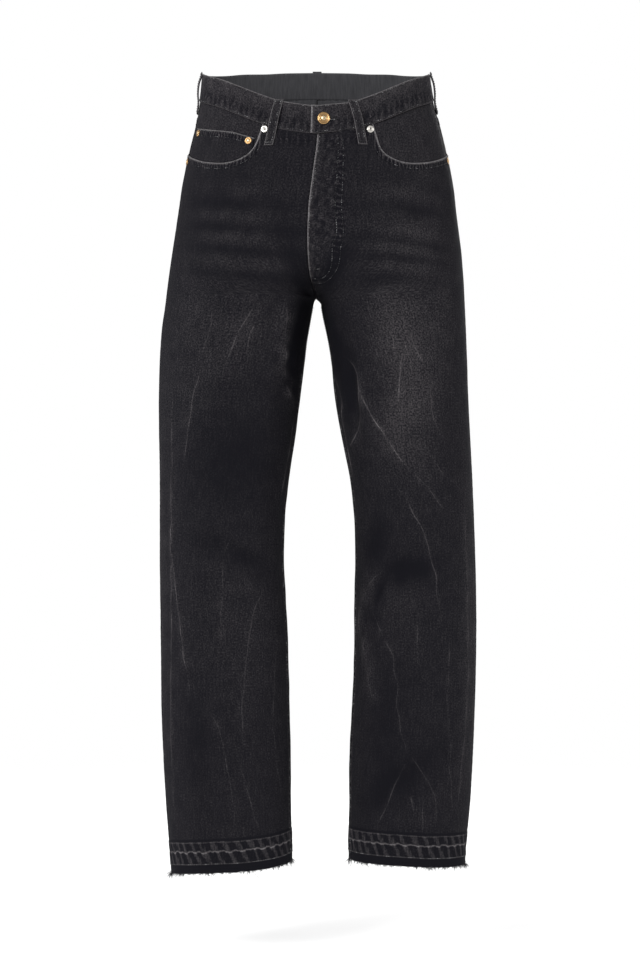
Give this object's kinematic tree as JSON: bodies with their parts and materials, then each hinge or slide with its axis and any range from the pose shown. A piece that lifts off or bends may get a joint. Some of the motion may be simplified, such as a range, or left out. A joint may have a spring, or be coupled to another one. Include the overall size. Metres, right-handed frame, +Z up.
{
  "type": "straight leg jeans",
  "caption": "Straight leg denim jeans in their hollow worn shape, with waistband, belt loops, front and back pockets, button fly and raw frayed hems.",
  "frame": {"origin": "middle of the waist opening, level with the seam under the waistband at the sides", "axes": "+Z up, -Y out of the wearer's front, +X towards the wearer's left"},
  "size_m": [0.4374, 0.2523, 1.1193],
  "materials": {
    "denim": "washed black twill, faded at the thighs and worn pale along folded edges",
    "copper": "aged copper, satin",
    "nickel": "pale nickel with a worn centre"
  },
  "bodies": {
    "root": {"front_right": "denim", "front_left": "denim", "back_right": "denim", "back_left": "denim", "yoke_right": "denim", "yoke_left": "denim", "pocket_facing_right": "denim", "pocket_facing_left": "denim", "back_pocket_right": "denim", "back_pocket_left": "denim", "coin_pocket": "denim", "fly_shield": "denim", "waistband": "denim", "belt_loop_front_right": "denim", "belt_loop_front_left": "denim", "belt_loop_side_right": "denim", "belt_loop_side_left": "denim", "belt_loop_back": "denim", "waist_button": "copper", "rivet_coin_inner": "copper", "rivet_coin_outer": "copper", "rivet_side_right": "copper", "rivet_side_left": "copper", "rivet_scoop_right": "nickel", "rivet_scoop_left": "nickel"}
  },
  "joints": []
}
